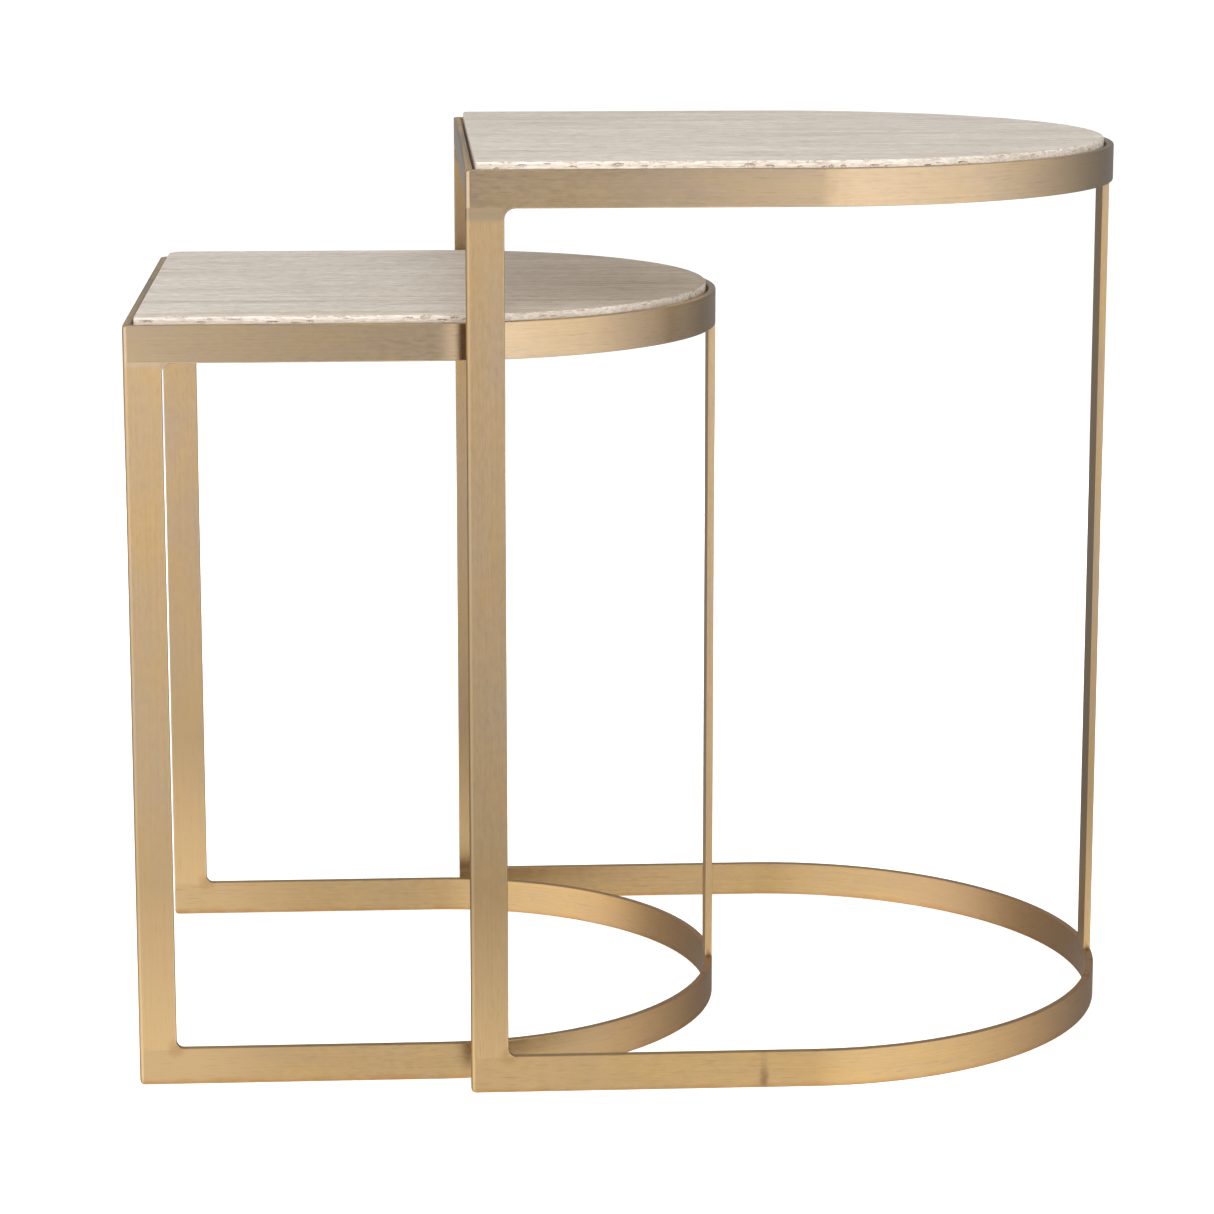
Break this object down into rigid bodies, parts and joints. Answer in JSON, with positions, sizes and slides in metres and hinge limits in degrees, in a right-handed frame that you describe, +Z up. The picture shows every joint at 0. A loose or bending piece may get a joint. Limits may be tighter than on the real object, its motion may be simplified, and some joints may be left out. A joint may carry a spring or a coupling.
{
  "type": "nesting tables",
  "caption": "D-shaped nesting tables: open flat-bar frames with inset travertine tops, the smaller one sliding under the larger through its open square end.",
  "frame": {"origin": "on the floor, under the middle of both tables' overall box as they stand, the small one drawn out", "axes": "+X along the slide, from the square ends to the half-round noses, +Y from the front to the back, +Z up"},
  "size_m": [0.68, 0.458, 0.6205],
  "materials": {
    "brass_finished_bar": "satin",
    "weld_metal": "satin",
    "travertine": "satin",
    "clear_bumper": "gloss"
  },
  "bodies": {
    "large_table": {"large_rim_front_bar": "brass_finished_bar", "large_rim_back_bar": "brass_finished_bar", "large_rim_end_bar": "brass_finished_bar", "large_rim_bow": "brass_finished_bar", "large_base_front_bar": "brass_finished_bar", "large_base_back_bar": "brass_finished_bar", "large_base_bow": "brass_finished_bar", "large_front_leg": "brass_finished_bar", "large_back_leg": "brass_finished_bar", "large_nose_leg": "brass_finished_bar", "large_cross_bar_end": "brass_finished_bar", "large_cross_bar_nose": "brass_finished_bar", "large_end_tab": "brass_finished_bar", "large_nose_tab": "brass_finished_bar", "large_rim_welds": "weld_metal", "large_base_welds": "weld_metal", "large_nose_welds": "weld_metal", "large_slab_bumpers": "clear_bumper"},
    "large_top": {"large_stone_top": "travertine"},
    "small_table": {"small_rim_front_bar": "brass_finished_bar", "small_rim_back_bar": "brass_finished_bar", "small_rim_end_bar": "brass_finished_bar", "small_rim_bow": "brass_finished_bar", "small_base_front_bar": "brass_finished_bar", "small_base_back_bar": "brass_finished_bar", "small_base_bow": "brass_finished_bar", "small_front_leg": "brass_finished_bar", "small_back_leg": "brass_finished_bar", "small_nose_leg": "brass_finished_bar", "small_cross_bar_end": "brass_finished_bar", "small_cross_bar_nose": "brass_finished_bar", "small_end_tab": "brass_finished_bar", "small_nose_tab": "brass_finished_bar", "small_rim_welds": "weld_metal", "small_base_welds": "weld_metal", "small_nose_welds": "weld_metal", "small_slab_bumpers": "clear_bumper"},
    "small_top": {"small_stone_top": "travertine"}
  },
  "joints": [
    {"name": "nest_slide", "type": "slide", "parent": "large_table", "child": "small_table", "axis": [1, 0, 0], "range_m": [-0.2, 0.268]},
    {"name": "large_top_lift", "type": "slide", "parent": "large_table", "child": "large_top", "axis": [0, 0, 1], "range_m": [0, 0.04]},
    {"name": "small_top_lift", "type": "slide", "parent": "small_table", "child": "small_top", "axis": [0, 0, 1], "range_m": [0, 0.04]}
  ]
}
